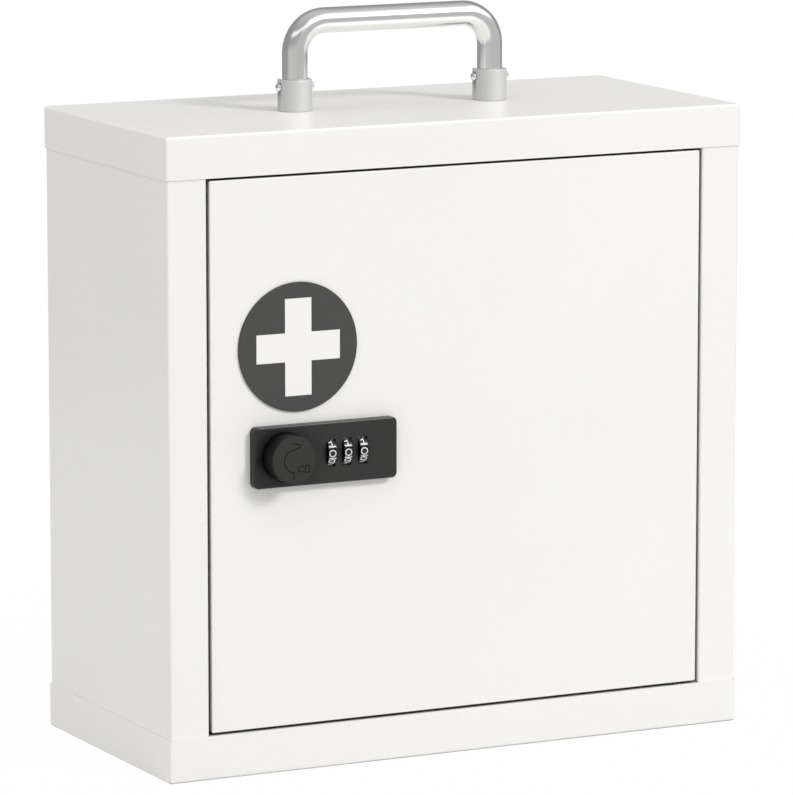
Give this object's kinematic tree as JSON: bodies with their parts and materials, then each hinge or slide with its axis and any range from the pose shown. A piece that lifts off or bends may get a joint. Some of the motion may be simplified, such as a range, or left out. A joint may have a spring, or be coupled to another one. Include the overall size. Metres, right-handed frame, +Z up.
{
  "type": "medication lock box",
  "caption": "White sheet-steel box with a flush hinged door, dial cam lock with a turn knob, first-aid disc and a folding carrying handle on top.",
  "frame": {"origin": "centre of the base, on the surface that the box stands on", "axes": "+X to the right seen from the front, +Y to the back, +Z up; the door faces -Y"},
  "size_m": [0.3, 0.1539, 0.348],
  "materials": {
    "white_paint": "white powder coat, satin",
    "chrome": "polished chrome",
    "zinc": "zinc plated",
    "dark_disc": "dark grey, matt",
    "lock_black": "black, satin",
    "dial_black": "black with white digits",
    "rubber": "matt",
    "nylon": "black nylon"
  },
  "bodies": {
    "case": {"case_wrap": "white_paint", "top_cap": "white_paint", "bottom_cap": "white_paint", "shelf": "white_paint", "shelf_support_left": "white_paint", "shelf_support_right": "white_paint", "hinge_pin_top": "zinc", "hinge_pin_bottom": "zinc", "bumper_pad_top": "rubber", "bumper_pad_bottom": "rubber", "ferrule_left": "chrome", "ferrule_right": "chrome", "pivot_pin_left": "chrome", "pivot_pin_right": "chrome", "ferrule_screw_left": "zinc", "ferrule_screw_right": "zinc", "ferrule_washer_left": "zinc", "ferrule_washer_right": "zinc"},
    "handle": {"handle_bar": "chrome"},
    "door": {"door_panel": "white_paint", "hinge_bush_top": "nylon", "hinge_bush_bottom": "nylon", "cross_emblem": "dark_disc", "cross_inlay": "white_paint", "lock_housing": "lock_black", "dial_axle": "zinc", "detent_spring": "zinc", "lock_rear_cover": "lock_black", "cover_screw_left": "zinc", "cover_screw_right": "zinc", "lock_nut": "zinc", "lock_nut_washer": "zinc", "lock_screw": "zinc", "lock_screw_washer": "zinc"},
    "knob": {"lock_knob": "lock_black", "lock_cam": "zinc", "cam_washer": "zinc", "cam_screw": "zinc"},
    "dial_left": {"dial_1": "dial_black"},
    "dial_middle": {"dial_2": "dial_black"},
    "dial_right": {"dial_3": "dial_black"}
  },
  "joints": [
    {"name": "door_hinge", "type": "hinge", "parent": "case", "child": "door", "pos_m": [0.116, -0.06535, 0.15], "axis": [0, 0, 1], "range_deg": [0, 115]},
    {"name": "knob_turn", "type": "hinge", "parent": "door", "child": "knob", "pos_m": [-0.09265, -0.0739, 0.1496], "axis": [0, 1, 0], "range_deg": [0, 90]},
    {"name": "dial_left_turn", "type": "hinge", "parent": "door", "child": "dial_left", "pos_m": [-0.06905, -0.0695, 0.1496], "axis": [1, 0, 0], "continuous": true},
    {"name": "dial_middle_turn", "type": "hinge", "parent": "door", "child": "dial_middle", "pos_m": [-0.0609, -0.0695, 0.1496], "axis": [1, 0, 0], "continuous": true},
    {"name": "dial_right_turn", "type": "hinge", "parent": "door", "child": "dial_right", "pos_m": [-0.05275, -0.0695, 0.1496], "axis": [1, 0, 0], "continuous": true},
    {"name": "handle_fold", "type": "hinge", "parent": "case", "child": "handle", "pos_m": [0, 0, 0.3113], "axis": [-1, 0, 0], "range_deg": [0, 90]}
  ]
}
